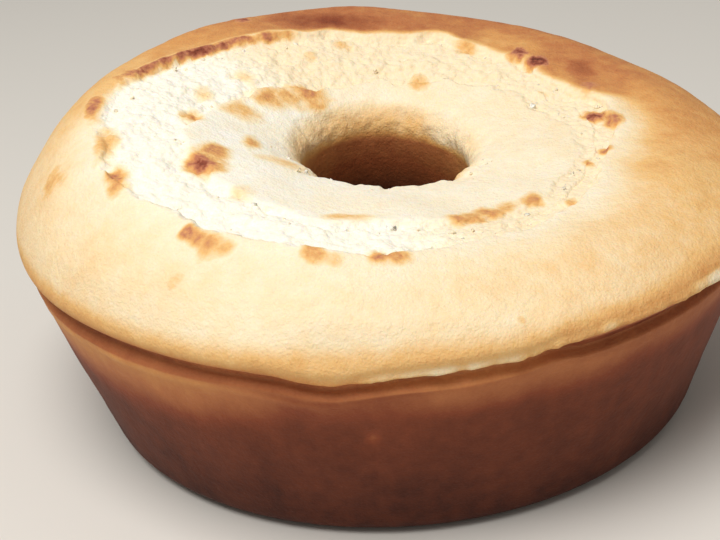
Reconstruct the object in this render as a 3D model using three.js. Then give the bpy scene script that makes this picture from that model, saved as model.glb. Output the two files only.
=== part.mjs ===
// A ring-shaped cornmeal cake, baked in a flared tube pan and turned out with its crust up.
// Millimetres, +Z up, with -Y at the front. The origin is the middle of the flat base.
// The batter rose unevenly: the crown stands higher at the back left than at the front right,
// and its crust burst in a ragged ring that bares the pale, craggy crumb.
import * as THREE from "three";
import { mergeVertices } from "three/addons/utils/BufferGeometryUtils.js";

// Driving dimensions of the body, which the pan shaped
const BASE_RADIUS = 98.5; // where the line of the side would meet the table
const RIM_RADIUS = 118; // the side at the height of the pan's rim
const RIM_HEIGHT = 60.8;
const FOOT_ROUND = 9; // rounded corner between base and side
const HOLE_BASE_RADIUS = 33; // the pan's tube was wider at its foot
const HOLE_TOP_RADIUS = 27.5;
const HOLE_FOOT_ROUND = 4;

// Driving dimensions of the lip that swelled over the pan's rim, and of the crease under it
const LIP_RADIUS = 121;
const LIP_HEIGHT = 69.5;
const LIP_ROUND = 6;
const LIP_SWELL = 0.9; // how far the lip wanders in and out
const SWELL_FROM_RADIUS = 110;
const LIP_UNDERCUT = 75; // degrees that the lip curls under towards the crease
const CREASE_DEPTH = 2.6;
const CREASE_RISE = 1.6; // from the rim up to the bottom of the crease

// Driving dimensions of the crown
const CREST_RADIUS = 92;
const CREST_HEIGHT = 95.5;
const CREST_LEAN = 12; // added at the high side, taken off at the low side
const LEAN_ANGLE = 141; // direction of the high side, in degrees from +X towards +Y
const CROWN_POWER = 1.5; // 2 would be an elliptic shoulder, 1 a straight slope
const HOLE_HEIGHT = 83; // the crown where it dips into the hole
const HOLE_LEAN = 3;
const HOLE_ROUND = 6;
const LUMP_HEIGHT = 0.6;
const LUMPS_END_RADIUS = 100; // the shoulder outside this is smooth

// Driving dimensions of the burst ring in the crust
const BURST_OUTER_RADIUS = 81;
const BURST_OUTER_SHIFT = 11.5; // the ring lies off centre, towards the front left
const BURST_OUTER_SHIFT_ANGLE = 238;
const BURST_OUTER_OVAL = 4.5;
const BURST_OUTER_OVAL_ANGLE = 41;
const BURST_OUTER_CORNERS = 2; // three blunt corners
const BURST_OUTER_CORNER_ANGLE = 37;
const BURST_INNER_RADIUS = 57;
const BURST_INNER_SHIFT = 16.5;
const BURST_INNER_SHIFT_ANGLE = 273;
const BURST_INNER_OVAL = 2.8;
const BURST_INNER_OVAL_ANGLE = 30;
const BURST_DEPTH = 2.2; // crumb below the broken crust
const BURST_GUTTER = 1.2; // deeper still along both torn edges
const GUTTER_WIDTH = 7;
const EDGE_WIDTH = 2.4; // the step from crust to crumb
const EDGE_CURL = 0.9; // the torn crust curls up by this much
const CURL_WIDTH = 9;
const EDGE_RAGGED = 2.2;
const OUTER_TEARS = 1.1; // phases that set where each torn edge runs in and out
const INNER_TEARS = 2.9;
const CRAG_HEIGHT = 1.3;

// Fineness of the facets
const SEGMENTS = 120;
const FOOT_STEPS = 2;
const SIDE_RINGS = 3;
const LIP_STEPS = 4;
const SHOULDER_RINGS = 10;
const SHOULDER_CROWDING = 1.6; // above 1, the rings lie closer together near the lip
const BURST_RINGS = 7;
const ISLAND_RINGS = 6;
const HOLE_EDGE_RINGS = 4;
const HOLE_RINGS = 2;

const CAKE_COLOR = 0xe3b77c;
const CAKE_ROUGHNESS = 0.78;

const radians = THREE.MathUtils.degToRad;
const mix = THREE.MathUtils.lerp;
const ramp = THREE.MathUtils.smoothstep;

// A cosine that goes round the cake a whole number of times, highest at the given direction
function around(angle, times, highestAt) {
  return Math.cos(times * (angle - radians(highestAt)));
}

// A torn edge's way in and out, between about -1 and 1
function ragged(angle, phase) {
  const tears = 0.5 * Math.sin(7 * angle + phase) + 0.35 * Math.sin(13 * angle - 2 * phase);
  return tears + 0.3 * Math.sin(24 * angle + 3 * phase);
}

function burstOuterEdge(angle) {
  const shift = BURST_OUTER_SHIFT * around(angle, 1, BURST_OUTER_SHIFT_ANGLE);
  const oval = BURST_OUTER_OVAL * around(angle, 2, BURST_OUTER_OVAL_ANGLE);
  const corners = BURST_OUTER_CORNERS * around(angle, 3, BURST_OUTER_CORNER_ANGLE);
  return BURST_OUTER_RADIUS + shift + oval + corners + EDGE_RAGGED * ragged(angle, OUTER_TEARS);
}

function burstInnerEdge(angle) {
  const shift = BURST_INNER_SHIFT * around(angle, 1, BURST_INNER_SHIFT_ANGLE);
  const oval = BURST_INNER_OVAL * around(angle, 2, BURST_INNER_OVAL_ANGLE);
  return BURST_INNER_RADIUS + shift + oval + EDGE_RAGGED * ragged(angle, INNER_TEARS);
}

// Where a ring of the plain cake comes to lie once the burst has wandered off its circle
function wanderedRadius(radius, angle) {
  const outer = burstOuterEdge(angle);
  const inner = burstInnerEdge(angle);
  if (radius >= BURST_OUTER_RADIUS) {
    const share = (radius - BURST_OUTER_RADIUS) / (LIP_RADIUS - BURST_OUTER_RADIUS);
    return mix(outer, LIP_RADIUS, share);
  }
  if (radius >= BURST_INNER_RADIUS) {
    const share = (radius - BURST_INNER_RADIUS) / (BURST_OUTER_RADIUS - BURST_INNER_RADIUS);
    return mix(inner, outer, share);
  }
  const share = (radius - HOLE_TOP_RADIUS) / (BURST_INNER_RADIUS - HOLE_TOP_RADIUS);
  return mix(HOLE_TOP_RADIUS, inner, share);
}

// The smooth crown: a full shoulder outside the crest and a shallow dip towards the hole
function crownHeight(radius, angle) {
  const lean = around(angle, 1, LEAN_ANGLE);
  const crest = CREST_HEIGHT + CREST_LEAN * lean;
  if (radius > CREST_RADIUS) {
    const out = Math.min((radius - CREST_RADIUS) / (LIP_RADIUS - CREST_RADIUS), 1);
    return LIP_HEIGHT + (crest - LIP_HEIGHT) * (1 - out ** CROWN_POWER) ** (1 / CROWN_POWER);
  }
  const hole = HOLE_HEIGHT + HOLE_LEAN * lean;
  const inward = (CREST_RADIUS - radius) / (CREST_RADIUS - HOLE_TOP_RADIUS);
  const intoHole = Math.max(HOLE_TOP_RADIUS + HOLE_ROUND - radius, 0);
  const edgeDrop = HOLE_ROUND - Math.sqrt(HOLE_ROUND ** 2 - intoHole ** 2);
  return crest - (crest - hole) * inward ** 2 - edgeDrop;
}

// Soft lumps of the crust, gone at the lip and at the hole
function lumps(radius, angle) {
  const wave = Math.sin(5 * angle + 0.05 * radius) + Math.sin(9 * angle - 0.09 * radius + 2);
  const fromHole = ramp(radius, HOLE_TOP_RADIUS, BURST_INNER_RADIUS);
  const fromLip = 1 - ramp(radius, LUMPS_END_RADIUS, LIP_RADIUS);
  return LUMP_HEIGHT * wave * fromHole * fromLip;
}

function crags(radius, angle) {
  const across = Math.sin(11 * angle + 0.5 * radius) + Math.sin(19 * angle - 0.7 * radius + 2);
  return CRAG_HEIGHT * (0.5 * across + 0.6 * Math.sin(0.9 * radius + 3 * Math.sin(4 * angle)));
}

// The burst's step down, gutters and crags, and the curled crust beside it, on the plain rings
function burstRelief(radius, angle) {
  const fromEdge = Math.min(BURST_OUTER_RADIUS - radius, radius - BURST_INNER_RADIUS);
  const curl = EDGE_CURL * (1 - ramp(-fromEdge, 0, CURL_WIDTH));
  if (fromEdge <= 0) {
    return curl;
  }
  const fall = ramp(fromEdge, 0, EDGE_WIDTH);
  const gutter = BURST_GUTTER * (1 - ramp(fromEdge, EDGE_WIDTH, GUTTER_WIDTH));
  return mix(curl, crags(radius, angle) - BURST_DEPTH - gutter, fall);
}

// Rings of the plain cake: each has a radius and a height, and those of the crown get their height later
function ring(radius, height) {
  return { radius, height, onCrown: false };
}

function crownRing(radius) {
  return { radius, height: crownHeight(radius, radians(LEAN_ANGLE + 90)), onCrown: true };
}

function arcRings(radius, height, size, from, to, steps) {
  const rings = [];
  for (let step = 0; step <= steps; step += 1) {
    const turn = radians(mix(from, to, step / steps));
    rings.push(ring(radius + size * Math.cos(turn), height + size * Math.sin(turn)));
  }
  return rings;
}

function bodyRings() {
  const slope = Math.atan2(RIM_HEIGHT, RIM_RADIUS - BASE_RADIUS);
  const footRadius = BASE_RADIUS - FOOT_ROUND * Math.tan(slope / 2);
  const slopeTurn = THREE.MathUtils.radToDeg(slope);
  const foot = arcRings(footRadius, FOOT_ROUND, FOOT_ROUND, -90, slopeTurn - 90, FOOT_STEPS);
  const sideFoot = foot.at(-1);
  const side = [];
  for (let step = 1; step <= SIDE_RINGS; step += 1) {
    const share = step / SIDE_RINGS;
    side.push(ring(mix(sideFoot.radius, RIM_RADIUS, share), mix(sideFoot.height, RIM_HEIGHT, share)));
  }
  const crease = ring(RIM_RADIUS - CREASE_DEPTH, RIM_HEIGHT + CREASE_RISE);
  const lip = arcRings(LIP_RADIUS - LIP_ROUND, LIP_HEIGHT, LIP_ROUND, -LIP_UNDERCUT, 0, LIP_STEPS);
  return [...foot, ...side, crease, ...lip];
}

function crownRings() {
  const rings = [];
  for (let step = 1; step <= SHOULDER_RINGS; step += 1) {
    const share = (step / SHOULDER_RINGS) ** SHOULDER_CROWDING;
    rings.push(crownRing(mix(LIP_RADIUS, BURST_OUTER_RADIUS, share)));
  }
  const burstFrom = BURST_OUTER_RADIUS - EDGE_WIDTH;
  const burstTo = BURST_INNER_RADIUS + EDGE_WIDTH;
  for (let step = 0; step < BURST_RINGS; step += 1) {
    rings.push(crownRing(mix(burstFrom, burstTo, step / (BURST_RINGS - 1))));
  }
  const holeEdge = HOLE_TOP_RADIUS + HOLE_ROUND;
  for (let step = 0; step < ISLAND_RINGS; step += 1) {
    rings.push(crownRing(mix(BURST_INNER_RADIUS, holeEdge, step / ISLAND_RINGS)));
  }
  for (let step = 0; step <= HOLE_EDGE_RINGS; step += 1) {
    const turn = (Math.PI / 2) * (step / HOLE_EDGE_RINGS);
    rings.push(crownRing(holeEdge - HOLE_ROUND * Math.sin(turn)));
  }
  return rings;
}

function holeRings() {
  const wallTop = HOLE_HEIGHT - HOLE_ROUND;
  const wallLean = Math.atan2(HOLE_BASE_RADIUS - HOLE_TOP_RADIUS, wallTop);
  const turned = THREE.MathUtils.radToDeg(wallLean);
  const footRadius = HOLE_BASE_RADIUS + HOLE_FOOT_ROUND * Math.tan(Math.PI / 4 - wallLean / 2);
  const foot = arcRings(footRadius, HOLE_FOOT_ROUND, HOLE_FOOT_ROUND, 180 + turned, 270, FOOT_STEPS);
  const wall = [];
  for (let step = 1; step <= HOLE_RINGS; step += 1) {
    const share = step / (HOLE_RINGS + 1);
    wall.push(ring(mix(HOLE_TOP_RADIUS, foot[0].radius, share), mix(wallTop, foot[0].height, share)));
  }
  return [...wall, ...foot];
}

// The baked place of one point: out from the axis, and up
function bakedPoint({ radius, height, onCrown }, angle) {
  const waves = around(angle, 2, 160) + 0.6 * around(angle, 5, 30) + 0.4 * around(angle, 9, 10);
  const swell = LIP_SWELL * waves;
  const nearLip = height > RIM_HEIGHT + CREASE_RISE ? ramp(radius, SWELL_FROM_RADIUS, LIP_RADIUS) : 0;
  if (!onCrown) {
    return { out: radius + swell * nearLip, up: height };
  }
  const wandered = wanderedRadius(radius, angle);
  const up = crownHeight(wandered, angle) + lumps(wandered, angle) + burstRelief(radius, angle);
  return { out: wandered + swell * nearLip, up };
}

// The plain ring turned round the axis, with every point then moved to its baked place
function cakeGeometry() {
  const rings = [...bodyRings(), ...crownRings(), ...holeRings()];
  const closed = [...rings, rings[0]];
  const outline = closed.map(({ radius, height }) => new THREE.Vector2(radius, height));
  const turned = new THREE.LatheGeometry(outline, SEGMENTS);
  turned.rotateX(Math.PI / 2);
  const places = turned.getAttribute("position");
  for (let index = 0; index < places.count; index += 1) {
    const angle = Math.atan2(places.getY(index), places.getX(index));
    const { out, up } = bakedPoint(closed[index % closed.length], angle);
    places.setXYZ(index, out * Math.cos(angle), out * Math.sin(angle), up);
  }
  turned.deleteAttribute("normal");
  turned.deleteAttribute("uv");
  const geometry = mergeVertices(turned);
  geometry.computeBoundingBox();
  const middle = geometry.boundingBox.getCenter(new THREE.Vector3());
  geometry.translate(-middle.x, -middle.y, 0);
  geometry.computeVertexNormals();
  return geometry;
}

const crust = new THREE.MeshStandardMaterial({
  color: CAKE_COLOR,
  roughness: CAKE_ROUGHNESS,
  metalness: 0,
});
const cake = new THREE.Mesh(cakeGeometry(), crust);
cake.name = "cake";

const group = new THREE.Group();
group.add(cake);

export default group;
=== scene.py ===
"""A ring-shaped cornmeal cake, as it looks fresh from its tube pan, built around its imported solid."""
import math

import bpy
import numpy as np
from mathutils import Euler, Matrix, Quaternion, Vector, noise


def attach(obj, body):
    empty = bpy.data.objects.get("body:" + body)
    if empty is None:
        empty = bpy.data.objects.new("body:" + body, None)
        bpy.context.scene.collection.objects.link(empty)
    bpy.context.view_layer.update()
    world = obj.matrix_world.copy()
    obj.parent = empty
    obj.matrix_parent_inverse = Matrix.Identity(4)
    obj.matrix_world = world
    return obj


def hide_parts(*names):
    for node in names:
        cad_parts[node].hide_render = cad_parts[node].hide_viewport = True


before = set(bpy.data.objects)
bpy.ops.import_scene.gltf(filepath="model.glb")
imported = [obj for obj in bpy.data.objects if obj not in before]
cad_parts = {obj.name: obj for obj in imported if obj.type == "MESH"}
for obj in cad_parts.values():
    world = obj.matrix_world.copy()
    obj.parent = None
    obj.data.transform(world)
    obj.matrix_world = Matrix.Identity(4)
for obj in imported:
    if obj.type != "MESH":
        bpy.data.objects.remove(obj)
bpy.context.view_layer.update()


# Camera
# It stands close in front of the cake and looks a little down on its crown, through a long lens.
# It is tipped to the right, so the cake's right side rides up in the picture. Lengths are in metres here.
CAMERA_TARGET = Vector((-0.0108, 0.0, 0.0386))
CAMERA_DISTANCE = 0.5106
CAMERA_ELEVATION = math.radians(25.9)
CAMERA_ROLL = math.radians(-4.81)
CAMERA_LENS_MM = 75.0
CAMERA_SENSOR_MM = 36.0
CAMERA_NEAREST = 0.01

camera_back = Vector((0.0, -math.cos(CAMERA_ELEVATION), math.sin(CAMERA_ELEVATION)))
bpy.ops.object.select_all(action="DESELECT")
bpy.ops.object.camera_add(location=CAMERA_TARGET + CAMERA_DISTANCE * camera_back)
camera = bpy.context.object
camera.rotation_mode = "QUATERNION"
camera_level = (-camera_back).to_track_quat("-Z", "Y")
camera.rotation_quaternion = camera_level @ Quaternion((0.0, 0.0, 1.0), CAMERA_ROLL)
camera.data.lens = CAMERA_LENS_MM
camera.data.sensor_width = CAMERA_SENSOR_MM
camera.data.clip_start = CAMERA_NEAREST
bpy.context.scene.camera = camera


# The cake
# A home-baked ring of cornmeal batter, all one piece: a flared side that the pan browned, a lip that
# swelled over the pan's rim, and a crown that rose unevenly and burst in a ragged ring of pale crumb.
# Its section is drawn once and spun round, and what the oven did to it is then worked into the mesh.

# Sizes are in millimetres, and directions in degrees from the right, counted through the back. A name that
# ends in STRETCH is part of the way round the cake: the direction of its middle, and the cosines of the
# turn from there at which it is gone and at which it is full. Heights within a hair count as one.
MM = 0.001
HAIR = 0.01
WELD = 0.001
SECTORS = 480
ARC_POINTS = 40
CROWN_POINTS = 400

# The plain section, from the base up
BASE_RADIUS = 98.5
FOOT_ROUND = 9.0
RIM_RADIUS = 118.0
RIM_HEIGHT = 60.0
RIM_EDGE = 6.0
CREASE_DEPTH = 2.3
CREASE_RISE = 2.2
LIP_RADIUS = 121.0
LIP_HEIGHT = 69.5
LIP_ROUND = 5.0
LIP_UNDERCUT = 75.0
CREST_RADIUS = 92.0
CREST_HEIGHT = 95.5
CREST_LEAN = 12.0
LEAN_ANGLE = 141.0
CROWN_POWER = 1.5
HOLE_BASE_RADIUS = 33.0
HOLE_TOP_RADIUS = 27.5
HOLE_FOOT_ROUND = 4.0
HOLE_HEIGHT = 83.0
HOLE_LEAN = 3.0
HOLE_ROUND = 6.0
HOLE_EDGE_RADIUS = HOLE_TOP_RADIUS + HOLE_ROUND
WALL_TOP = HOLE_HEIGHT - HOLE_ROUND

# How far apart the section's points lie along each of its parts
BASE_STEP = 10.0
FOOT_STEP = 1.6
SIDE_STEP = 2.7
RIM_STEP = 0.8
LIP_STEP = 0.5
CROWN_STEP = 1.05
BURST_STEP = 0.65
ISLAND_STEP = 1.0
HOLE_EDGE_STEP = 0.9
HOLE_STEP = 4.2

# The burst's two edges
BURST_OUTER_RADIUS = 81.0
BURST_OUTER_SHIFT = 11.5
BURST_OUTER_SHIFT_ANGLE = 238.0
BURST_OUTER_OVAL = 4.5
BURST_OUTER_OVAL_ANGLE = 41.0
BURST_OUTER_CORNERS = 2.0
BURST_OUTER_CORNER_ANGLE = 37.0
BURST_OUTER_NIP = 7.5
NIPPED_STRETCH = (39.0, 0.86, 0.99)
BURST_INNER_RADIUS = 57.0
BURST_INNER_SHIFT = 16.5
BURST_INNER_SHIFT_ANGLE = 273.0
BURST_INNER_OVAL = 2.8
BURST_INNER_OVAL_ANGLE = 30.0

# A torn edge's swings: how many go round the cake, their share, and how far its phase shifts them
RAGGED_SWINGS = [(7, 0.5, 1), (13, 0.35, -2), (24, 0.3, 3)]
EDGE_RAGGED = 2.2
OUTER_PHASE = 1.1
INNER_PHASE = 2.9
EDGE_TEAR = 1.4
TEAR_LENGTH = 4.5

# The step down from the crust into the burst
BURST_DEPTH = 1.4
BURST_GUTTER = 0.6
GUTTER_WIDTH = 7.0
EDGE_WIDTH = 2.0
EDGE_OVERLAP = 0.3
EDGE_CURL = 0.6
CURL_WIDTH = 9.0
STEP_DEPTH = 0.9
STEP_DEPTH_CHANGE = 0.4
STEP_DEPTH_LENGTH = 30.0
NARROW_BURST = 8.0
WIDE_BURST = 22.0
NARROW_STEP = 0.5
INNER_STEP = 0.6
INNER_STEP_LOSS = 0.6
INNER_LOW_STRETCH = (335.0, 0.5, 0.9)
OUTER_STEP_LOSS = 0.75
OUTER_LOW_STRETCH = (181.0, 0.93, 0.99)

# Low lumps of the crown: how many go round, how they twist outwards, and where they start
LUMP_WAVES = [(5, 0.05, 0.0), (9, -0.09, 2.0)]
LUMP_HEIGHT = 0.35
LUMPS_END_RADIUS = 100.0

# Nicks in the edge of the hole: how deep and long they are, at what unevenness one starts and is full,
# and how far inside the edge they are full and outside it gone
HOLE_NICK = 1.5
HOLE_NICK_LENGTH = 32.0
HOLE_NICK_FROM = (-0.1, 0.4)
HOLE_NICK_INSIDE = 2.5
HOLE_NICK_OUTSIDE = 3.5

# The lip's way in and out: how many waves go round, where one is highest, and their share
LIP_WAVES = [(2, 160.0, 1.0), (5, 30.0, 0.6), (9, 10.0, 0.4)]
LIP_SWELL = 0.9
SWELL_FROM_RADIUS = 110.0
# Where the lip sags, or below zero rises: the direction, half the length in degrees, and the drop
SAGS = [(259.5, 6.0, 2.6), (273.0, 8.0, 0.8), (289.5, 3.0, -1.2)]
SAG_FADE = 16.0

# The thin crisp edge that the lip has on the right, placed by its turn below the lip's widest ring
CRISP_STRETCH = (308.0, 0.45, 0.8)
CRISP_LENGTH = 7.0
CRISP_EVEN = 0.8
CRISP_UNEVEN = 0.6
CRISP_LEAST = 0.2
CRISP_MOST = 1.2
CRISP_TURN = -48.0
CRISP_LIFT = 40.0
LIFTED_STRETCH = (315.0, 0.85, 0.96)
CRISP_WIDTH = 11.0
CRISP_REACH = 1.2
CRISP_DROOP = 0.9

# A faint bead that the pan's rim left, under a strip of painted shade below the rim that is narrower at the
# front
RIM_BEAD = 0.4
RIM_BEAD_BELOW = 1.0
RIM_BEAD_WIDTH = 1.2
RIM_BEAD_LENGTH = 20.0
RIM_BEAD_EVEN = 0.8
RIM_BEAD_UNEVEN = 0.6
RIM_BEAD_FAINTEST = 0.25
RIM_BEAD_STRETCH = (215.0, 0.6, 0.95)
RIM_SHADE = 2.6
RIM_SHADE_RIGHT_CHANGE = 1.6
RIM_SHADE_LEFT_CHANGE = 1.8
FRONT_RIGHT_STRETCH = (277.0, 0.90, 0.99)
FRONT_LEFT_STRETCH = (228.0, 0.90, 0.98)

# A bubble that burst against the pan left a small dent in the side
DENT_ANGLE = 264.0
DENT_HEIGHT = 42.0
DENT_RADIUS = 2.0
DENT_DEPTH = 1.0

# Spots where torn points of crust caught the heat: how they fade, and how ragged and proud they are
SPOT_FADE = (0.1, 1.3)
SPOT_RAGGED = 0.33
SPOT_RAG_LENGTH = 6.0
SPOT_RISE = 0.8
# How far right and back of the hole's middle each spot lies, half its width and depth, and how dark it is,
# from 0, as white crumb, to 1, as the darkest crust
BROWNED_SPOTS = [
    (-55.5, -36.5, 7.5, 9.5, 0.75),
    (-53, -27.5, 6.0, 8.0, 0.60),
    (-61, -1, 4.5, 7.0, 0.56),
    (-24, 29, 9.0, 7.5, 0.60),
    (-31, 25.5, 7.5, 6.0, 0.50),
    (-37, 21.5, 8.0, 7.0, 0.52),
    (-46, 10, 7.5, 9.0, 0.42),
    (-44, 33, 6.0, 5.0, 0.30),
    (-58, 17, 4.2, 5.5, 0.33),
    (-42, -12, 3.6, 7.0, 0.60),
    (-32, -23, 9.0, 6.5, 0.36),
    (-44, -56, 5.0, 7.0, 0.28),
    (-13, -68, 10.0, 4.0, 0.42),
    (18, -68, 4.5, 5.5, 0.62),
    (22, -66, 6.5, 6.5, 0.55),
    (27, -62, 6.5, 6.5, 0.54),
    (33, -58, 6.0, 5.5, 0.48),
    (41, -54, 5.2, 6.5, 0.58),
    (52, -57, 3.2, 4.5, 0.46),
    (14.5, 39.5, 6.0, 8.0, 0.44),
    (56, 26, 3.4, 3.4, 0.32),
    (-92, -2, 4.5, 16.0, 0.65),
    (-86, -28, 5.5, 14.0, 0.48),
    (-81, -46, 3.8, 8.0, 0.62),
    (-80, -53, 4.2, 7.0, 0.52),
    (-58, -80, 3.6, 4.0, 0.64),
    (-55, -83, 4.8, 5.0, 0.57),
    (-52, -86, 5.5, 5.0, 0.57),
    (-48, -88, 5.0, 4.2, 0.51),
    (-23, -93, 4.5, 6.5, 0.53),
    (-18, -96, 4.0, 3.5, 0.36),
    (-6, -94, 4.0, 5.5, 0.66),
    (0, -95, 6.0, 5.0, 0.55),
    (69, 5, 5.2, 7.5, 0.81),
    (75, -1, 5.2, 6.5, 0.64),
    (68.7, -22, 3.6, 3.6, 0.68),
    (62, -28.5, 4.0, 4.0, 0.58),
    (57, 44, 6.5, 6.5, 0.81),
    (51.5, 51.5, 5.8, 6.0, 0.78),
    (72, 25.5, 7.0, 6.0, 0.63),
    (33, 59, 7.5, 6.5, 0.46),
    (-11, 63, 5.0, 7.0, 0.38),
    (-22, 52.5, 5.0, 5.5, 0.34),
    (-46, 75, 5.0, 6.0, 0.74),
    (-85.8, 21.5, 4.5, 6.0, 0.66),
    (-83.5, 24, 6.0, 7.0, 0.74),
    (-103, -33, 9.0, 12.0, 0.46),
    (-62, -92, 5.0, 4.0, 0.34),
    (30, -113.5, 2.4, 2.2, 0.46),
]
# A long scorched stretch of the burst's outer edge at the back left, where the edge is less ragged
SCORCHED_ANGLE = 144.0
SCORCHED_HALF_LENGTH = 49.0
SCORCHED_WIDTH = 2.8
SCORCHED_DARKNESS = 0.77
SCORCHED_CALM = 0.7
CALM_STRETCH = (SCORCHED_ANGLE, 0.75, 0.95)


def arc(radius, height, size, start, end):
    """Points of an arc in the section, closely spaced."""
    turns = np.radians(np.linspace(start, end, ARC_POINTS))
    return np.stack([radius + size * np.cos(turns), height + size * np.sin(turns)], axis=1)


def evenly(points, spacing):
    """The same line with points at even steps, without its last point."""
    points = np.asarray(points, float)
    lengths = np.linalg.norm(np.diff(points, axis=0), axis=1)
    along = np.concatenate([[0.0], np.cumsum(lengths)])
    steps = np.linspace(0.0, along[-1], max(round(along[-1] / spacing), 1) + 1)[:-1]
    return np.stack([np.interp(steps, along, points[:, axis]) for axis in (0, 1)], axis=1)


def ramp(value, low, high):
    """A smooth rise from 0 at low to 1 at high."""
    share = np.clip((value - low) / (high - low), 0.0, 1.0)
    return share * share * (3.0 - 2.0 * share)


def swell(distance, width):
    """A smooth bump, 1 in its middle and nearly gone at two widths."""
    return np.exp(-((distance / width) ** 2))


def mix(first, second, share):
    """The first value where the share is 0, and the second where it is 1."""
    return first + (second - first) * share


def around(angle, times, highest_at):
    """A cosine that goes round the cake a whole number of times."""
    return np.cos(times * (angle - math.radians(highest_at)))


def facing(angle, direction, gone, full):
    """1 in a stretch of the way round the cake, and 0 away from it."""
    return ramp(around(angle, 1, direction), gone, full)


def turn_from(angle, direction):
    """How far round the cake a place lies from a direction, the shorter way, in radians."""
    return np.angle(np.exp(1j * (angle - math.radians(direction))))


def crown_height(radius, angle):
    """The smooth crown: a full shoulder outside the crest and a shallow dip towards the hole."""
    lean = around(angle, 1, LEAN_ANGLE)
    crest = CREST_HEIGHT + CREST_LEAN * lean
    out = np.clip((radius - CREST_RADIUS) / (LIP_RADIUS - CREST_RADIUS), 0.0, 1.0)
    shoulder = LIP_HEIGHT + (crest - LIP_HEIGHT) * (1.0 - out**CROWN_POWER) ** (1.0 / CROWN_POWER)
    hole = HOLE_HEIGHT + HOLE_LEAN * lean
    inward = np.clip((CREST_RADIUS - radius) / (CREST_RADIUS - HOLE_TOP_RADIUS), 0.0, 1.0)
    into_hole = np.clip(HOLE_EDGE_RADIUS - radius, 0.0, HOLE_ROUND)
    edge_drop = HOLE_ROUND - np.sqrt(HOLE_ROUND**2 - into_hole**2)
    return np.where(radius > CREST_RADIUS, shoulder, crest - (crest - hole) * inward**2 - edge_drop)


def crown_line(start, end):
    """The plain crown's section between two radii, half way between its high and low sides."""
    radius = np.linspace(start, end, CROWN_POINTS)
    return np.stack([radius, crown_height(radius, math.radians(LEAN_ANGLE + 90.0))], axis=1)


def section():
    """The closed outline from the base's inner edge out, up, over the crown and down the hole."""
    slope = math.atan2(RIM_HEIGHT, RIM_RADIUS - BASE_RADIUS)
    foot_radius = BASE_RADIUS - FOOT_ROUND * math.tan(slope / 2.0)
    foot = arc(foot_radius, FOOT_ROUND, FOOT_ROUND, -90.0, math.degrees(slope) - 90.0)
    rim = (RIM_RADIUS, RIM_HEIGHT)
    below_rim = (RIM_RADIUS - RIM_EDGE / math.tan(slope), RIM_HEIGHT - RIM_EDGE)
    crease = (RIM_RADIUS - CREASE_DEPTH, RIM_HEIGHT + CREASE_RISE)
    lip = arc(LIP_RADIUS - LIP_ROUND, LIP_HEIGHT, LIP_ROUND, -LIP_UNDERCUT, 0.0)
    lean = math.atan2(HOLE_BASE_RADIUS - HOLE_TOP_RADIUS, WALL_TOP)
    hole_foot_radius = HOLE_BASE_RADIUS + HOLE_FOOT_ROUND * math.tan(math.pi / 4.0 - lean / 2.0)
    hole_foot_from = 180.0 + math.degrees(lean)
    hole_foot = arc(hole_foot_radius, HOLE_FOOT_ROUND, HOLE_FOOT_ROUND, hole_foot_from, 270.0)
    parts = [
        (BASE_STEP, [hole_foot[-1], foot[0]]),
        (FOOT_STEP, foot),
        (SIDE_STEP, [foot[-1], below_rim]),
        (RIM_STEP, [below_rim, rim]),
        (RIM_STEP, [rim, crease, lip[0]]),
        (LIP_STEP, lip),
        (CROWN_STEP, crown_line(LIP_RADIUS, BURST_OUTER_RADIUS)),
        (BURST_STEP, crown_line(BURST_OUTER_RADIUS, BURST_INNER_RADIUS)),
        (ISLAND_STEP, crown_line(BURST_INNER_RADIUS, HOLE_EDGE_RADIUS)),
        (HOLE_EDGE_STEP, crown_line(HOLE_EDGE_RADIUS, HOLE_TOP_RADIUS)),
        (HOLE_STEP, [(HOLE_TOP_RADIUS, WALL_TOP), hole_foot[0]]),
        (FOOT_STEP, hole_foot),
    ]
    return np.concatenate([evenly(points, spacing) for spacing, points in parts])


def spun_ring(name, points):
    """One vertex is drawn out along the section, the outline is closed, and it is spun into a ring."""
    places = [Vector((radius * MM, 0.0, height * MM)) for radius, height in points]
    bpy.ops.object.select_all(action="DESELECT")
    bpy.ops.mesh.primitive_plane_add(size=MM, location=(0.0, 0.0, 0.0))
    ring = bpy.context.object
    ring.name = name
    bpy.ops.object.mode_set(mode="EDIT")
    bpy.ops.mesh.select_mode(type="VERT")
    bpy.ops.mesh.merge(type="CENTER")
    bpy.ops.transform.translate(value=places[0])
    for last, place in zip(places, places[1:]):
        bpy.ops.mesh.extrude_vertices_move(TRANSFORM_OT_translate={"value": place - last})
    bpy.ops.mesh.select_all(action="SELECT")
    bpy.ops.mesh.edge_face_add()
    bpy.ops.mesh.delete(type="ONLY_FACE")
    bpy.ops.object.mode_set(mode="OBJECT")
    spin = ring.modifiers.new("spin", "SCREW")
    spin.steps = SECTORS
    spin.render_steps = SECTORS
    spin.use_merge_vertices = True
    spin.merge_threshold = WELD * MM
    bpy.ops.object.modifier_apply(modifier=spin.name)
    bpy.ops.object.mode_set(mode="EDIT")
    bpy.ops.mesh.select_all(action="SELECT")
    bpy.ops.mesh.normals_make_consistent(inside=False)
    bpy.ops.object.mode_set(mode="OBJECT")
    return ring


def places_of(piece):
    """The piece's vertices, in millimetres."""
    flat = np.empty(len(piece.data.vertices) * 3)
    piece.data.vertices.foreach_get("co", flat)
    return flat.reshape(-1, 3) / MM


def move_to(piece, places):
    """Moves the piece's vertices to places in millimetres."""
    piece.data.vertices.foreach_set("co", (places * MM).ravel())
    piece.data.update()


# What one step of a seed adds to a noise's place, and how its finer layers follow on the coarser ones
SEED_SHIFT = (17.3, 5.1, 9.7)
LAYER_FALL = 1.0
LAYER_FINER = 2.0


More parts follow.
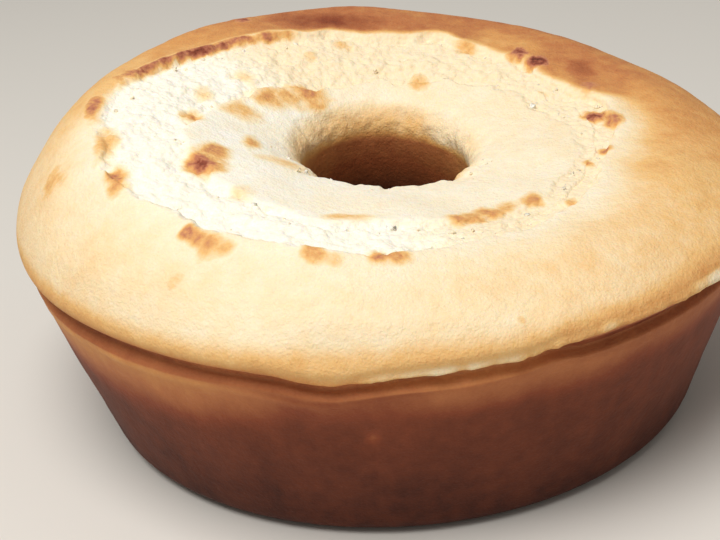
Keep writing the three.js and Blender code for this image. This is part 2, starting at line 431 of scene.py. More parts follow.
def uneven(places, size, octaves, seed):
    """Fractal unevenness with lumps of about that size, between about -1 and 1."""
    shift = Vector([step * seed for step in SEED_SHIFT])
    shifted = [Vector(place) / size + shift for place in places]
    return np.array([noise.fractal(place, LAYER_FALL, LAYER_FINER, octaves) for place in shifted])


def uneven_round(angle, length, octaves, seed):
    """Unevenness that goes round the cake in stretches of about that length, measured at the rim."""
    rim = [RIM_RADIUS * np.cos(angle), RIM_RADIUS * np.sin(angle), np.zeros_like(angle)]
    return uneven(np.stack(rim, axis=1), length, octaves, seed)


def ragged(angle, phase):
    """A torn edge's way in and out, in wide swings."""
    swings = [share * np.sin(times * angle + shift * phase) for times, share, shift in RAGGED_SWINGS]
    return EDGE_RAGGED * sum(swings)


def burst_outer_edge(angle):
    """The radius at which the outer crust ends."""
    shift = BURST_OUTER_SHIFT * around(angle, 1, BURST_OUTER_SHIFT_ANGLE)
    oval = BURST_OUTER_OVAL * around(angle, 2, BURST_OUTER_OVAL_ANGLE)
    corners = BURST_OUTER_CORNERS * around(angle, 3, BURST_OUTER_CORNER_ANGLE)
    nip = BURST_OUTER_NIP * facing(angle, *NIPPED_STRETCH)
    calm = 1.0 - SCORCHED_CALM * facing(angle, *CALM_STRETCH)
    return BURST_OUTER_RADIUS + shift + oval + corners - nip + calm * ragged(angle, OUTER_PHASE)


def burst_inner_edge(angle):
    """The radius at which the island of crust round the hole ends."""
    shift = BURST_INNER_SHIFT * around(angle, 1, BURST_INNER_SHIFT_ANGLE)
    oval = BURST_INNER_OVAL * around(angle, 2, BURST_INNER_OVAL_ANGLE)
    return BURST_INNER_RADIUS + shift + oval + ragged(angle, INNER_PHASE)


def burst_relief(inside, depth):
    """The step down into the burst, its gutters, and the curled crust beside it."""
    curl = EDGE_CURL * (1.0 - ramp(-inside, 0.0, CURL_WIDTH))
    fall = ramp(inside, -EDGE_OVERLAP, EDGE_WIDTH)
    gutter = BURST_GUTTER * (1.0 - ramp(inside, EDGE_WIDTH, GUTTER_WIDTH))
    return depth * (curl * (1.0 - fall) - (BURST_DEPTH + gutter) * fall)


cake = spun_ring("baked_cake", section())
plain = places_of(cake)
angle = np.arctan2(plain[:, 1], plain[:, 0])
plain_radius = np.hypot(plain[:, 0], plain[:, 1])
plain_height = plain[:, 2]

# Where each vertex lies: on the hole's wall, the crown, the lip's face, the ledge under it, or the side
in_hole = (plain_radius < HOLE_EDGE_RADIUS + HOLE_FOOT_ROUND) & (plain_height < WALL_TOP - HAIR)
on_crown = (plain_height > LIP_HEIGHT - HAIR) & ~in_hole
on_lip = (plain_height > RIM_HEIGHT + CREASE_RISE + HAIR) & ~on_crown & ~in_hole
on_ledge = (plain_height > RIM_HEIGHT - HAIR) & ~on_crown & ~in_hole & ~on_lip
on_side = ~(in_hole | on_crown | on_lip | on_ledge)

# The burst wanders off its circle, and the rings of the crown go with it
outer_edge = burst_outer_edge(angle)
inner_edge = burst_inner_edge(angle)
rings_from = (HOLE_TOP_RADIUS, BURST_INNER_RADIUS, BURST_OUTER_RADIUS, LIP_RADIUS)
rings_to = (HOLE_TOP_RADIUS, inner_edge, outer_edge, LIP_RADIUS)
radius = plain_radius.copy()
for low, high, new_low, new_high in zip(rings_from, rings_from[1:], rings_to, rings_to[1:]):
    between = on_crown & (plain_radius >= low) & (plain_radius <= high)
    share = (plain_radius - low) / (high - low)
    radius = np.where(between, new_low + share * (new_high - new_low), radius)

# The crust breaks off in a step where the crown burst, lower where the burst is narrow
smooth_crown = np.stack([radius * np.cos(angle), radius * np.sin(angle), plain_height], axis=1)
tears = EDGE_TEAR * uneven(smooth_crown, TEAR_LENGTH, octaves=3, seed=3.0)
inside_burst = np.minimum(outer_edge - radius, radius - inner_edge) + tears
by_outer = outer_edge - radius < radius - inner_edge
burst_width = ramp(outer_edge - inner_edge, NARROW_BURST, WIDE_BURST)
outer_step = 1.0 - OUTER_STEP_LOSS * facing(angle, *OUTER_LOW_STRETCH)
inner_step = INNER_STEP * (1.0 - INNER_STEP_LOSS * facing(angle, *INNER_LOW_STRETCH))
step_depth = STEP_DEPTH + STEP_DEPTH_CHANGE * uneven_round(angle, STEP_DEPTH_LENGTH, octaves=2, seed=5.0)
step_depth = step_depth * mix(NARROW_STEP, 1.0, burst_width) * np.where(by_outer, outer_step, inner_step)

lump_waves = sum(np.sin(times * angle + twist * radius + start) for times, twist, start in LUMP_WAVES)
lump_fade = ramp(radius, HOLE_TOP_RADIUS, BURST_INNER_RADIUS)
lump_fade = lump_fade * (1.0 - ramp(radius, LUMPS_END_RADIUS, LIP_RADIUS))
crown = crown_height(radius, angle) + LUMP_HEIGHT * lump_waves * lump_fade
crown = crown + burst_relief(inside_burst, step_depth)
nicks = ramp(uneven_round(angle, HOLE_NICK_LENGTH, octaves=2, seed=9.0), *HOLE_NICK_FROM)
nick_from = HOLE_EDGE_RADIUS - HOLE_NICK_INSIDE
nick_to = HOLE_EDGE_RADIUS + HOLE_NICK_OUTSIDE
crown = crown - HOLE_NICK * nicks * (1.0 - ramp(plain_radius, nick_from, nick_to))
wall_stretch = crown_height(np.full_like(angle, HOLE_TOP_RADIUS), angle) / WALL_TOP
height = np.where(on_crown, crown, np.where(in_hole, plain_height * wall_stretch, plain_height))

# The lip wanders in and out round the cake, and on the right it runs out in a thin crisp edge
lip_waves = sum(share * around(angle, times, highest_at) for times, highest_at, share in LIP_WAVES)
near_lip = ramp(plain_radius, SWELL_FROM_RADIUS, LIP_RADIUS) * (on_crown | on_lip)
lip_turn = np.degrees(np.arctan2(plain_height - LIP_HEIGHT, plain_radius - LIP_RADIUS + LIP_ROUND))
crisp_share = CRISP_EVEN + CRISP_UNEVEN * uneven_round(angle, CRISP_LENGTH, octaves=3, seed=8.0)
crisp_share = facing(angle, *CRISP_STRETCH) * np.clip(crisp_share, CRISP_LEAST, CRISP_MOST)
lifted = facing(angle, *LIFTED_STRETCH)
crisp_turn = CRISP_TURN + CRISP_LIFT * lifted
crisp_edge = (on_lip | on_crown) * swell(lip_turn - crisp_turn, CRISP_WIDTH) * crisp_share
radius = radius + LIP_SWELL * lip_waves * near_lip + CRISP_REACH * crisp_edge
height = height - CRISP_DROOP * crisp_edge

# The side has a small dent, and a faint bead along its top
dent_along = turn_from(angle, DENT_ANGLE) * plain_radius
dent = on_side * swell(np.hypot(dent_along, plain_height - DENT_HEIGHT), DENT_RADIUS)
front_right = facing(angle, *FRONT_RIGHT_STRETCH)
front_left = facing(angle, *FRONT_LEFT_STRETCH)
rim_shade = RIM_SHADE - RIM_SHADE_RIGHT_CHANGE * front_right - RIM_SHADE_LEFT_CHANGE * front_left
bead_height = RIM_HEIGHT - rim_shade - RIM_BEAD_BELOW
bead = on_side * swell(bead_height - plain_height, RIM_BEAD_WIDTH)
bead = bead * mix(RIM_BEAD_FAINTEST, 1.0, facing(angle, *RIM_BEAD_STRETCH))
bead_waves = uneven_round(angle, RIM_BEAD_LENGTH, octaves=2, seed=12.0)
bead = bead * (RIM_BEAD_EVEN + RIM_BEAD_UNEVEN * bead_waves)
radius = radius - DENT_DEPTH * dent + RIM_BEAD * bead

# At the front the lip and the crease under it sag
crown_sag = ramp(plain_radius, SWELL_FROM_RADIUS, LIP_RADIUS)
side_sag = ramp(plain_height, RIM_HEIGHT - SAG_FADE, RIM_HEIGHT)
sag_share = np.select([in_hole, on_crown], [0.0, crown_sag], side_sag)
for sag_angle, half_length, drop in SAGS:
    sag_turn = np.degrees(turn_from(angle, sag_angle))
    height = height - drop * swell(sag_turn, half_length) * sag_share

# Browned points of the torn crust stand a little proud
spot_outline = SPOT_RAGGED * uneven(smooth_crown, SPOT_RAG_LENGTH, octaves=3, seed=21.0)


def spotted(along, across, half_length, half_width, fade):
    """A ragged spot, 1 in its middle, that fades out between two shares of its half sizes."""
    reach = np.hypot(along / half_length, across / half_width) + spot_outline
    return 1.0 - ramp(reach, *fade)


def spot_at(right, behind, half_width, half_depth, fade):
    """A ragged spot on the crown, that far right of and behind the hole's middle."""
    return spotted(smooth_crown[:, 0] - right, smooth_crown[:, 1] - behind, half_width, half_depth, fade)


scorch = np.zeros_like(angle)
for *spot, darkness in BROWNED_SPOTS:
    scorch = np.maximum(scorch, darkness * spot_at(*spot, SPOT_FADE))
scorched_along = turn_from(angle, SCORCHED_ANGLE) * radius
scorched = spotted(scorched_along, radius - outer_edge, SCORCHED_HALF_LENGTH, SCORCHED_WIDTH, SPOT_FADE)
scorch = on_crown * np.maximum(scorch, SCORCHED_DARKNESS * scorched)
height = height + SPOT_RISE * scorch

baked = np.stack([radius * np.cos(angle), radius * np.sin(angle), height], axis=1)
middle = (baked.min(axis=0) + baked.max(axis=0)) / 2.0
baked[:, :2] -= middle[:2]
move_to(cake, baked)

# Which places are roughened: the crumb less where the burst is narrow, the crust less by the lip
NARROW_CRUMB = 0.4
LIP_CALM = 0.7
CALM_FROM_RADIUS = 112.0
HOLE_ROUGH_REACH = 3.0
SIDE_ROUGH_FROM = (2.0, 12.0)
LEAST_WEIGHT = 0.01


def weigh(piece, name, weights):
    """A vertex group from one weight for each vertex."""
    group = piece.vertex_groups.new(name=name)
    for index in np.flatnonzero(weights > LEAST_WEIGHT):
        group.add([int(index)], float(weights[index]), "REPLACE")


def clouds(size, octaves, kind="SOFT_NOISE"):
    """A cloudy texture with lumps of about that size."""
    texture = bpy.data.textures.new("clouds", "CLOUDS")
    texture.noise_scale = size * MM
    texture.noise_depth = octaves
    texture.noise_type = kind
    return texture


def grains(size):
    """A texture of round grains of about that size, with creases between them."""
    texture = bpy.data.textures.new("grains", "VORONOI")
    texture.noise_scale = size * MM
    return texture


def roughen(piece, group, texture, depth):
    """Pushes a group's surface out and in by a texture. A depth below zero turns the texture round."""
    push = piece.modifiers.new("roughen", "DISPLACE")
    push.texture = texture
    push.texture_coords = "LOCAL"
    push.vertex_group = group
    push.strength = depth * MM
    bpy.ops.object.modifier_apply(modifier=push.name)


torn = ramp(inside_burst, -EDGE_OVERLAP, EDGE_WIDTH)
by_lip = ramp(plain_radius, CALM_FROM_RADIUS, LIP_RADIUS)
off_hole = ramp(plain_radius, HOLE_TOP_RADIUS, HOLE_EDGE_RADIUS + HOLE_ROUGH_REACH)
weigh(cake, "crumb", on_crown * torn * mix(NARROW_CRUMB, 1.0, burst_width))
weigh(cake, "crust", on_crown * (1.0 - torn) * (1.0 - LIP_CALM * by_lip))
weigh(cake, "hole_edge", on_crown * (1.0 - off_hole))
weigh(cake, "side", (on_side | in_hole) * ramp(plain_height, *SIDE_ROUGH_FROM))
roughen(cake, "crust", clouds(size=26.0, octaves=1), depth=1.1)
roughen(cake, "crust", clouds(size=5.0, octaves=2), depth=0.35)
roughen(cake, "crumb", clouds(size=13.0, octaves=1), depth=2.2)
roughen(cake, "crumb", clouds(size=5.0, octaves=2, kind="HARD_NOISE"), depth=1.2)
roughen(cake, "crumb", grains(size=4.5), depth=-1.5)
roughen(cake, "crumb", grains(size=2.4), depth=-0.8)
roughen(cake, "hole_edge", clouds(size=5.0, octaves=1), depth=1.0)
roughen(cake, "hole_edge", grains(size=3.2), depth=-0.3)
roughen(cake, "side", clouds(size=18.0, octaves=2), depth=0.9)
bpy.ops.object.shade_smooth()

# How far each place browned in the oven, from 0, white crumb, to 1, dark crust; on the island, the lip's
# face, the ledge, the side and the hole it also carries painted light and shade
CROWN_BAKE = 0.45
CROWN_BAKE_CHANGE = 0.23
CROWN_PALE_ANGLE = 240.0
BACK_LEFT_BAKE = 0.09
BACK_LEFT_STRETCH = (140.0, 0.4, 0.95)
LEFT_BAKE = 0.055
LEFT_STRETCH = (218.0, 0.9, 0.98)
# Patches of crust a little browner or paler than the rest, given like the spots, the extra browning last
PATCH_FADE = (0.3, 1.4)
CRUST_PATCHES = [
    (-24, 78, 12.0, 8.0, 0.10),
    (-6, 78, 12.0, 7.0, 0.10),
    (70.5, 38.5, 5.0, 8.0, 0.12),
    (65.5, 33.5, 4.5, 6.0, -0.05),
    (44, 62, 10.0, 9.0, -0.11),
    (54, 55, 7.0, 7.0, -0.08),
]
# The crust is pale along the burst, far out at the front, and browner close above the lip
EDGE_BAKE = 0.16
PALE_FROM = -2.0
PALE_WIDTH = 4.0
PALE_WIDTH_CHANGE = 14.0
WIDE_PALE_STRETCH = (277.0, -0.22, 0.12)
RIM_BAKE = 0.33
RIM_BAKE_SHARE = 0.62
RIM_BAKE_MOST = 0.74
RIM_BAKE_RIGHT_LOSS = 0.04
RIM_BROWN = 0.05
RIM_BROWN_STRETCH = (300.0, 0.97, 0.995)
RIM_REACH = 6.0
RIM_REACH_CHANGE = 2.5
RIM_REACH_STRETCH = (345.0, 0.7, 1.0)
# The crisp edge is a little paler all along, and fully pale with painted highlights at these places: the
# direction of each place, and half its length in degrees
HIGHLIGHT_STRETCHES = [(275.0, 12.0), (296.8, 1.6), (316.0, 5.0)]
PALE_EDGE_AND_HIGHLIGHT_BAKE = 0.18
PALE_STRETCH_ABOVE = 8.0
PALE_STRETCH_WIDTH = 18.0
PALE_FAINTEST = 0.2
# The island of crust round the hole, paler on the left with painted light where its slope faces away from
# the lamp, and the hole's own edge and wall, with painted light on its left and right walls and painted
# shade deeper down
ISLAND_BAKE = 0.13
ISLAND_LIGHT_CHANGE = 0.07
ISLAND_DARKEST_ANGLE = 20.0
HOLE_EDGE_BAKE = 0.28
HOLE_EDGE_BAKE_LOSS = 0.22
HOLE_PALE_STRETCH = (15.0, 0.62, 0.87)
HOLE_BAKE = 0.74
HOLE_SIDE_LIGHT = 0.06
HOLE_DEEP_SHADE = 0.3
HOLE_DEEP = 30.0
# The lip's face, browner towards its underside with painted shade, and the ledge under it: pan-browned
# crust darkened with painted shade under the lip
LIP_UNDER_SHADE = 0.19
LIP_UNDER_SHADE_CHANGE = 0.12
LIP_UNDER_SHADE_ANGLE = 215.0
UNDER_LIFTED_SHADE = 0.10
UNDER_LIFTED_FROM = (10.0, 40.0)
LEDGE_BAKE_AND_SHADE = 0.68
LEDGE_SHADE_CHANGE = 0.07
LEDGE_SHADE_STRETCH = (255.0, 0.97, 1.0)
LEDGE_LIFTED_SHADE = 0.08
# The side, darker towards the base with painted shade, and a paler band along its top that is partly paler
# crust and partly painted light, with a painted highlight on the bead
SIDE_BAKE_AND_SHADE = 1.0
SIDE_SHADE_FADE = 0.12
BAND_LEFT_STRETCH = (205.0, 0.5, 0.95)
BAND_WIDTH = 14.0
BAND_WIDTH_CHANGE = 10.0
BAND_FULL_BELOW = 3.0
BAND_BAKE_AND_LIGHT = 0.77
BAND_LEFT_LOSS = 0.12
BAND_RIGHT_LOSS = 0.03
BAND_DIMMER = 0.09
BAND_DIMMER_STRETCH = (260.0, 0.97, 1.0)
DENT_LOSS = 0.14
BEAD_HIGHLIGHT = 0.06
LEDGE_FADE = 2.0

crown_bake = CROWN_BAKE - CROWN_BAKE_CHANGE * around(angle, 1, CROWN_PALE_ANGLE)
crown_bake += BACK_LEFT_BAKE * facing(angle, *BACK_LEFT_STRETCH)
crown_bake += LEFT_BAKE * facing(angle, *LEFT_STRETCH)
for *patch, extra in CRUST_PATCHES:
    crown_bake += extra * spot_at(*patch, PATCH_FADE)
rim_bake = np.minimum(RIM_BAKE + RIM_BAKE_SHARE * crown_bake, RIM_BAKE_MOST)
rim_bake += RIM_BROWN * facing(angle, *RIM_BROWN_STRETCH) - RIM_BAKE_RIGHT_LOSS * front_right
pale_width = PALE_WIDTH + PALE_WIDTH_CHANGE * facing(angle, *WIDE_PALE_STRETCH)
crown_bake = mix(EDGE_BAKE, crown_bake, ramp(radius - outer_edge, PALE_FROM, pale_width))
rim_reach = RIM_REACH + RIM_REACH_CHANGE * facing(angle, *RIM_REACH_STRETCH)
crown_bake = mix(crown_bake, rim_bake, 1.0 - ramp(height - LIP_HEIGHT, 0.0, rim_reach))

# Painted light: the island is paler on the left, where its slope turns away from the lamp
island_bake_and_light = ISLAND_BAKE + ISLAND_LIGHT_CHANGE * around(angle, 1, ISLAND_DARKEST_ANGLE)
hole_edge_bake = HOLE_EDGE_BAKE - HOLE_EDGE_BAKE_LOSS * facing(angle, *HOLE_PALE_STRETCH)
island_bake_and_light += hole_edge_bake * (1.0 - ramp(radius, HOLE_TOP_RADIUS, HOLE_EDGE_RADIUS))
# Painted light makes the hole's left and right walls paler, and painted shade darkens the wall deeper down
hole_bake_light_and_shade = HOLE_BAKE - HOLE_SIDE_LIGHT * (1.0 + around(angle, 2, 0.0))
hole_bake_light_and_shade += HOLE_DEEP_SHADE * ramp(WALL_TOP - plain_height, 0.0, HOLE_DEEP)

# Painted shade: the lip's face darkens towards its underside, most on the left and under the lifted crisp
# edge
lip_under_shade = LIP_UNDER_SHADE + LIP_UNDER_SHADE_CHANGE * around(angle, 1, LIP_UNDER_SHADE_ANGLE)
lip_bake_and_shade = rim_bake + lip_under_shade * ramp(-lip_turn, 0.0, LIP_UNDERCUT)
lip_bake_and_shade += UNDER_LIFTED_SHADE * lifted * ramp(crisp_turn - lip_turn, *UNDER_LIFTED_FROM)
# The ledge under the lip is pan-browned crust darkened with painted shade, most at the front left and under
# the lifted edge
ledge_bake_and_shade = LEDGE_BAKE_AND_SHADE + LEDGE_SHADE_CHANGE * facing(angle, *LEDGE_SHADE_STRETCH)
ledge_bake_and_shade += LEDGE_LIFTED_SHADE * lifted
ledge_bake_and_shade = np.maximum(ledge_bake_and_shade, LEDGE_BAKE_AND_SHADE + LEDGE_SHADE_CHANGE * front_left)

# The band along the side's top is partly paler crust and partly painted light
band_left = facing(angle, *BAND_LEFT_STRETCH)
band_width = BAND_WIDTH + BAND_WIDTH_CHANGE * band_left
band_share = ramp(plain_height, RIM_HEIGHT - band_width, RIM_HEIGHT - BAND_FULL_BELOW)
band_bake_and_light = BAND_BAKE_AND_LIGHT - BAND_LEFT_LOSS * band_left - BAND_RIGHT_LOSS * front_right
band_bake_and_light += BAND_DIMMER * facing(angle, *BAND_DIMMER_STRETCH)
# Painted shade: the side darkens towards the base; the bead is paler with a painted highlight
side_bake_and_shade = SIDE_BAKE_AND_SHADE - SIDE_SHADE_FADE * plain_height / RIM_HEIGHT
side_bake_and_shade = mix(side_bake_and_shade, band_bake_and_light, band_share) - DENT_LOSS * dent - BEAD_HIGHLIGHT * bead
# A strip of the side's top just under the rim takes the ledge's painted shade
ledge_from = RIM_HEIGHT - rim_shade
side_bake_and_shade = mix(side_bake_and_shade, ledge_bake_and_shade, ramp(plain_height, ledge_from, ledge_from + LEDGE_FADE))

# The crisp edge's faint paleness all along, and painted highlights at the listed places
pale_and_highlight_share = np.full_like(angle, PALE_FAINTEST)
for stretch_angle, half_length in HIGHLIGHT_STRETCHES:
    stretch_turn = np.degrees(turn_from(angle, stretch_angle))
    pale_and_highlight_share = np.maximum(pale_and_highlight_share, swell(stretch_turn, half_length))
above_edge = lip_turn - crisp_turn - PALE_STRETCH_ABOVE
pale_and_highlight_share = pale_and_highlight_share * crisp_share * swell(above_edge, PALE_STRETCH_WIDTH) * (on_lip | on_crown)
# Each region's tone; several carry painted light and shade besides browning
regions = [in_hole, on_crown & by_outer, on_crown, on_lip, on_ledge]
region_tones_with_shade = [hole_bake_light_and_shade, crown_bake, island_bake_and_light, lip_bake_and_shade, ledge_bake_and_shade]
bake = np.select(regions, region_tones_with_shade, side_bake_and_shade)
bake = mix(bake, PALE_EDGE_AND_HIGHLIGHT_BAKE, np.clip(pale_and_highlight_share, 0.0, 1.0))

# What the finish reads besides: how far inside the burst, how coarse, how close to the pan's tube, and how
# far the crumb itself browned
BARED_MOST = 6.0
SIDE_COARSE = 0.55
TUBE_FADE = (-2.0, 20.0)
CRUMB_BAKE = 0.21
CRUMB_BAKE_CHANGE = 0.17
WHITE_CRUMB_STRETCH = (208.0, 0.1, 0.55)


def store(piece, name, values):
    """Keeps one number for each vertex, for the finish to read."""
    attribute = piece.data.attributes.new(name, "FLOAT", "POINT")
    attribute.data.foreach_set("value", np.asarray(values, np.float32))


store(cake, "bake", bake)
store(cake, "bared", np.where(on_crown, np.clip(inside_burst, -BARED_MOST, BARED_MOST), -BARED_MOST))
store(cake, "scorch", scorch)
store(cake, "coarse", np.where(on_crown | on_lip, 1.0, SIDE_COARSE))
store(cake, "by_tube", in_hole * ramp(WALL_TOP - plain_height, *TUBE_FADE))
store(cake, "crumb_bake", CRUMB_BAKE - CRUMB_BAKE_CHANGE * facing(angle, *WHITE_CRUMB_STRETCH))

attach(cake, "root")
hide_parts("cake")


class Shade:
    """One output in a material's node tree. Arithmetic on shades adds Math nodes."""

    def __init__(self, tree, socket=None):
        self.tree = tree
        self.socket = socket

    def node(self, kind, settings, inputs, output=0):
        """Adds a node: its settings first, then the values or links of its sockets."""
        made = self.tree.nodes.new(kind)
        for name, value in settings.items():
            if name == "stops":
                while len(made.color_ramp.elements) < len(value):
                    made.color_ramp.elements.new(1.0)
                for element, (position, colour) in zip(made.color_ramp.elements, value):
                    element.position = position
                    element.color = colour
            else:
                setattr(made, name, value)
        for name, value in inputs.items():
            if isinstance(value, Shade):
                self.tree.links.new(value.socket, made.inputs[name])
            else:
                made.inputs[name].default_value = value
        return Shade(self.tree, made.outputs[output])

    def math(self, operation, first, second):
        return self.node("ShaderNodeMath", {"operation": operation}, {0: first, 1: second})

    def __add__(self, other):
        return self.math("ADD", self, other)

    def __radd__(self, other):
        return self.math("ADD", other, self)

    def __sub__(self, other):
        return self.math("SUBTRACT", self, other)

    def __rsub__(self, other):
        return self.math("SUBTRACT", other, self)

    def __mul__(self, other):
        return self.math("MULTIPLY", self, other)

    def __rmul__(self, other):
        return self.math("MULTIPLY", other, self)

    def attribute(self, name):
        return self.node("ShaderNodeAttribute", {"attribute_name": name}, {}, "Fac")

    def ramp(self, low, high):
        """0 below low and 1 above high, with a smooth rise between."""
        settings = {"interpolation_type": "SMOOTHSTEP"}
        return self.node("ShaderNodeMapRange", settings, {"Value": self, "From Min": low, "From Max": high})

    def mix(self, other, share):
        """This value where the share is 0, and the other where it is 1."""
        return (1.0 - share) * self + share * other

    def grain(self, layers):
        """Noise about zero, added up from layers of a lump size in millimetres, a detail and a strength."""
        parts = []
        for size, detail, strength in layers:
            inputs = {"Vector": self, "Scale": 1.0 / (size * MM), "Detail": detail}
            parts.append(strength * (self.node("ShaderNodeTexNoise", {}, inputs) - 0.5))
        return sum(parts[1:], parts[0])

    def pores(self, size):
        """Distance from the nearest of many scattered points, as a share of their spacing."""
        inputs = {"Vector": self, "Scale": 1.0 / (size * MM)}
        return self.node("ShaderNodeTexVoronoi", {}, inputs, "Distance")


def linear(red, green, blue):
    """A screen colour, 0 to 255, as the light values that a shader takes."""
    shares = [value / 255.0 for value in (red, green, blue)]
    return (*[((share + 0.055) / 1.055) ** 2.4 for share in shares], 1.0)


# Colours from white crumb to dark crust
BAKING = [
    (0.00, linear(255, 250, 236)),
    (0.12, linear(253, 239, 211)),
    (0.28, linear(249, 222, 177)),
    (0.45, linear(239, 191, 124)),
    (0.58, linear(220, 158, 93)),
    (0.70, linear(190, 119, 73)),
    (0.84, linear(143, 72, 43)),
    (1.00, linear(72, 30, 16)),
]
# The hole's wall lay against the pan's tube and browned less red than the rest
TUBE_TINT = (0.94, 1.14, 0.86, 1.0)
# The darkest spots browned to a duller, pinker brown than the crust
SCORCH_TINT = (1.06, 1.16, 1.7, 1.0)
SCORCH_TINTED_FROM = (0.5, 0.78)
# Unevenness of the finish, in layers: the size of the lumps in millimetres, their detail and strength
CRUST_MOTTLE = [(22.0, 2.0, 0.14), (4.5, 3.0, 0.14), (0.8, 2.0, 0.08)]
UPRIGHT_STREAKS = [(9.0, 3.0, 0.10)]
UPRIGHT_SCALE = (1.0, 1.0, 0.12)
CRUMB_MOTTLE = [(2.4, 3.0, 0.14)]
SCORCH_MOTTLE = [(5.0, 3.0, 0.5), (1.6, 2.0, 0.6)]
SCORCH_STRENGTH = 1.06
EDGE_FRAY = [(2.2, 3.0, 2.0)]
EDGE_BLUR = 1.2
CRUST_GRAIN = [(0.7, 2.0, 0.5), (1.9, 2.0, 0.8)]
CRUMB_GRAIN = [(1.6, 3.0, 0.7)]
PORE_SIZE = 1.8
PORE_DEPTH = 0.7
RELIEF_STRENGTH = 0.55
RELIEF_DEPTH = 1.1
CRUST_ROUGHNESS = 0.66
CRUMB_ROUGHNESS_GAIN = 0.24
BAKED_GLOSS = 0.22
GLOW_WEIGHT = 0.2
GLOW_DEPTH = 2.0
GLOW_COLOUR = (1.0, 0.6, 0.3)


def baked_colour(start, place, crumb):
    """The colour by how far crust, crumb and scorched spots browned, with the painted light and shade that
    the cake's tone carries, and the two tints over it.
    """
    upright = start.node("ShaderNodeVectorMath", {"operation": "MULTIPLY"}, {0: place, 1: UPRIGHT_SCALE})
    mottle = place.grain(CRUST_MOTTLE) + upright.grain(UPRIGHT_STREAKS)
    crust_tone = start.attribute("bake") + start.attribute("coarse") * mottle
    crumb_tone = start.attribute("crumb_bake") + place.grain(CRUMB_MOTTLE)
    browned = start.attribute("scorch") * (SCORCH_STRENGTH + place.grain(SCORCH_MOTTLE))
    tone = start.math("MAXIMUM", crust_tone.mix(crumb_tone, crumb), browned)
    colour = start.node("ShaderNodeValToRGB", {"stops": BAKING}, {"Fac": tone})
    settings = {"data_type": "RGBA", "blend_type": "MULTIPLY"}
    tints = {TUBE_TINT: start.attribute("by_tube"), SCORCH_TINT: browned.ramp(*SCORCH_TINTED_FROM)}
    # Sockets 6 and 7 are a colour mix's two colours, and output 2 is its result
    for tint, share in tints.items():
        colour = start.node("ShaderNodeMix", settings, {"Factor": share, 6: colour, 7: tint}, 2)
    return colour


def baked_relief(start, place, crumb):
    """The fine grain of the crust, and the crumb's grains and pores."""
    crumb_height = place.grain(CRUMB_GRAIN) - PORE_DEPTH * place.pores(PORE_SIZE)
    height = start.attribute("coarse") * place.grain(CRUST_GRAIN).mix(crumb_height, crumb)
    inputs = {"Height": height, "Strength": RELIEF_STRENGTH, "Distance": RELIEF_DEPTH * MM}
    return start.node("ShaderNodeBump", {}, inputs)


def baked_material():
    """Dry, matt crust and crumb that let a little light in."""
    material = bpy.data.materials.new("baked_crust_and_crumb")
    material.use_nodes = True
    tree = material.node_tree
    tree.nodes.clear()
    start = Shade(tree)
    place = start.node("ShaderNodeTexCoord", {}, {}, "Object")
    crumb = (start.attribute("bared") + place.grain(EDGE_FRAY)).ramp(-EDGE_BLUR, EDGE_BLUR)
    inputs = {
        "Base Color": baked_colour(start, place, crumb),
        "Roughness": CRUST_ROUGHNESS + CRUMB_ROUGHNESS_GAIN * crumb,
        "Normal": baked_relief(start, place, crumb),
        "Specular IOR Level": BAKED_GLOSS,
        "Subsurface Weight": GLOW_WEIGHT,
        "Subsurface Scale": GLOW_DEPTH * MM,
        "Subsurface Radius": GLOW_COLOUR,
    }
    shader = start.node("ShaderNodeBsdfPrincipled", {}, inputs)
    output = tree.nodes.new("ShaderNodeOutputMaterial")
    tree.links.new(shader.socket, output.inputs["Surface"])
    return material


cake.data.materials.append(baked_material())


# Loose crumbs
# Small crumbs of the same batter that broke off where the crown burst and where the cake slid off the
# pan's tube. They lie half sunk in the burst and along the edge of the hole.
BURST_CRUMBS = 70
HOLE_CRUMBS = 14
CRUMB_SMALLEST = 0.25
CRUMB_LARGEST = 0.8
CRUMB_PROPORTIONS = (0.6, 1.4)
CRUMB_SUNK = 0.1
CRUMB_TONES = (0.02, 0.22)
CRUMB_COARSE = 0.2
CRUMB_SEED = 11
# A crumb's points are moved at random: how far, how much of it alike, and how much straight out
CRUMB_UNEVEN = 0.7
UNEVEN_ALIKE = 0.6
UNEVEN_OUTWARD = 0.4
UNEVEN_SEED = 3
# How far inside the burst's edge the crumbs lie, clear of browned spots, and how far from the hole's edge
# along its front, with the least cosine of the turn from there
BURST_BED = (1.0, 7.0)
BED_SCORCH_MOST = 0.05
HOLE_BED_WIDTH = 2.0
HOLE_BED_ANGLE = 270.0
HOLE_BED_LEAST = 0.2

bpy.ops.object.select_all(action="DESELECT")
bpy.ops.mesh.primitive_ico_sphere_add(subdivisions=2, radius=MM, location=(0.0, 0.0, 0.0))
lump = bpy.context.object
bpy.ops.object.mode_set(mode="EDIT")
bpy.ops.mesh.select_all(action="SELECT")
unevenness = {"uniform": UNEVEN_ALIKE, "normal": UNEVEN_OUTWARD, "seed": UNEVEN_SEED}
bpy.ops.transform.vertex_random(offset=CRUMB_UNEVEN * MM, **unevenness)
bpy.ops.object.mode_set(mode="OBJECT")

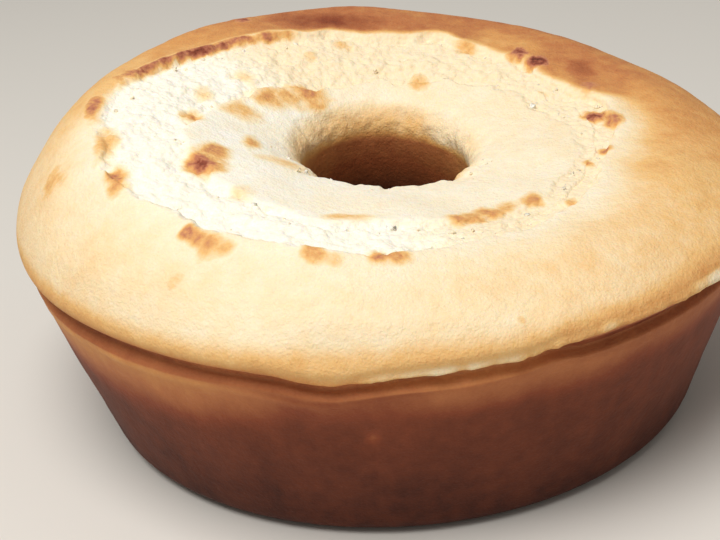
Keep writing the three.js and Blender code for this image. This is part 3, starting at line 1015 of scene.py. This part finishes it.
draw = np.random.RandomState(CRUMB_SEED)
final_places = places_of(cake)
normals = np.empty(len(cake.data.vertices) * 3)
cake.data.vertices.foreach_get("normal", normals)
normals = normals.reshape(-1, 3)
in_bed = (inside_burst > BURST_BED[0]) & (inside_burst < BURST_BED[1])
in_burst = np.flatnonzero(on_crown & in_bed & (scorch < BED_SCORCH_MOST))
burst_area = (outer_edge - inner_edge)[in_burst] * radius[in_burst]
on_hole_edge = on_crown & (np.abs(plain_radius - HOLE_EDGE_RADIUS) < HOLE_BED_WIDTH)
by_hole = np.flatnonzero(on_hole_edge & (around(angle, 1, HOLE_BED_ANGLE) > HOLE_BED_LEAST))
burst_beds = draw.choice(in_burst, BURST_CRUMBS, p=burst_area / burst_area.sum())
beds = np.concatenate([burst_beds, draw.choice(by_hole, HOLE_CRUMBS)])
copies = []
for bed in beds:
    size = CRUMB_SMALLEST + (CRUMB_LARGEST - CRUMB_SMALLEST) * draw.uniform() ** 2
    stretch = draw.uniform(*CRUMB_PROPORTIONS, 3) * size
    turn = Euler(draw.uniform(0.0, 2.0 * math.pi, 3))
    place = Vector((final_places[bed] - CRUMB_SUNK * size * normals[bed]) * MM)
    shape = lump.data.copy()
    shape.transform(Matrix.LocRotScale(place, turn, Vector(stretch)))
    copies.append(bpy.data.objects.new("crumb", shape))
    bpy.context.collection.objects.link(copies[-1])
bpy.data.objects.remove(lump)
for copy in copies:
    copy.select_set(True)
bpy.context.view_layer.objects.active = copies[0]
bpy.ops.object.join()
loose_crumbs = bpy.context.object
loose_crumbs.name = "loose_crumbs"
bpy.ops.object.shade_smooth()

crumb_points = len(loose_crumbs.data.vertices)
crumb_tones = np.repeat(draw.uniform(*CRUMB_TONES, len(beds)), crumb_points // len(beds))
store(loose_crumbs, "bake", crumb_tones)
store(loose_crumbs, "crumb_bake", crumb_tones)
crumb_finish = {"bared": BARED_MOST, "scorch": 0.0, "coarse": CRUMB_COARSE, "by_tube": 0.0}
for name, value in crumb_finish.items():
    store(loose_crumbs, name, np.full(crumb_points, value))
loose_crumbs.data.materials.append(cake.data.materials[0])
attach(loose_crumbs, "root")


# Table top
# A plain pale sheet that the cake stands on, wide enough that its edges don't show.
# It sets off the cake and isn't part of it.
TABLE_WIDTH = 12.0
TABLE_COLOUR = linear(226, 221, 212)
TABLE_ROUGHNESS = 0.8

bpy.ops.object.select_all(action="DESELECT")
bpy.ops.mesh.primitive_plane_add(size=TABLE_WIDTH, location=(0.0, 0.0, 0.0))
table_top = bpy.context.object
table_top.name = "table_top"
table_material = bpy.data.materials.new("pale_table")
table_material.use_nodes = True
table_finish = table_material.node_tree.nodes["Principled BSDF"].inputs
table_finish["Base Color"].default_value = TABLE_COLOUR
table_finish["Roughness"].default_value = TABLE_ROUGHNESS
table_top.data.materials.append(table_material)


# Studio light
# One broad soft light hangs high in front on the left and points at the cake.
# A dim, slightly warm white room fills the shadows from all round.
KEY_PLACE = Vector((-0.28, -0.45, 1.25))
KEY_TARGET = Vector((0.0, 0.0, 0.05))
KEY_SIZE = 0.8
KEY_WATTS = 15.5
ROOM_COLOUR = (1.0, 0.97, 0.93, 1.0)
ROOM_LIGHT = 0.3

bpy.ops.object.light_add(type="AREA", location=KEY_PLACE)
key = bpy.context.object
key.data.energy = KEY_WATTS
key.data.size = KEY_SIZE
key.rotation_mode = "QUATERNION"
key.rotation_quaternion = (KEY_TARGET - KEY_PLACE).to_track_quat("-Z", "Y")
room = bpy.data.worlds.new("room")
room.use_nodes = True
room_light = room.node_tree.nodes["Background"].inputs
room_light["Color"].default_value = ROOM_COLOUR
room_light["Strength"].default_value = ROOM_LIGHT
bpy.context.scene.world = room
bpy.context.scene.view_settings.view_transform = "Standard"
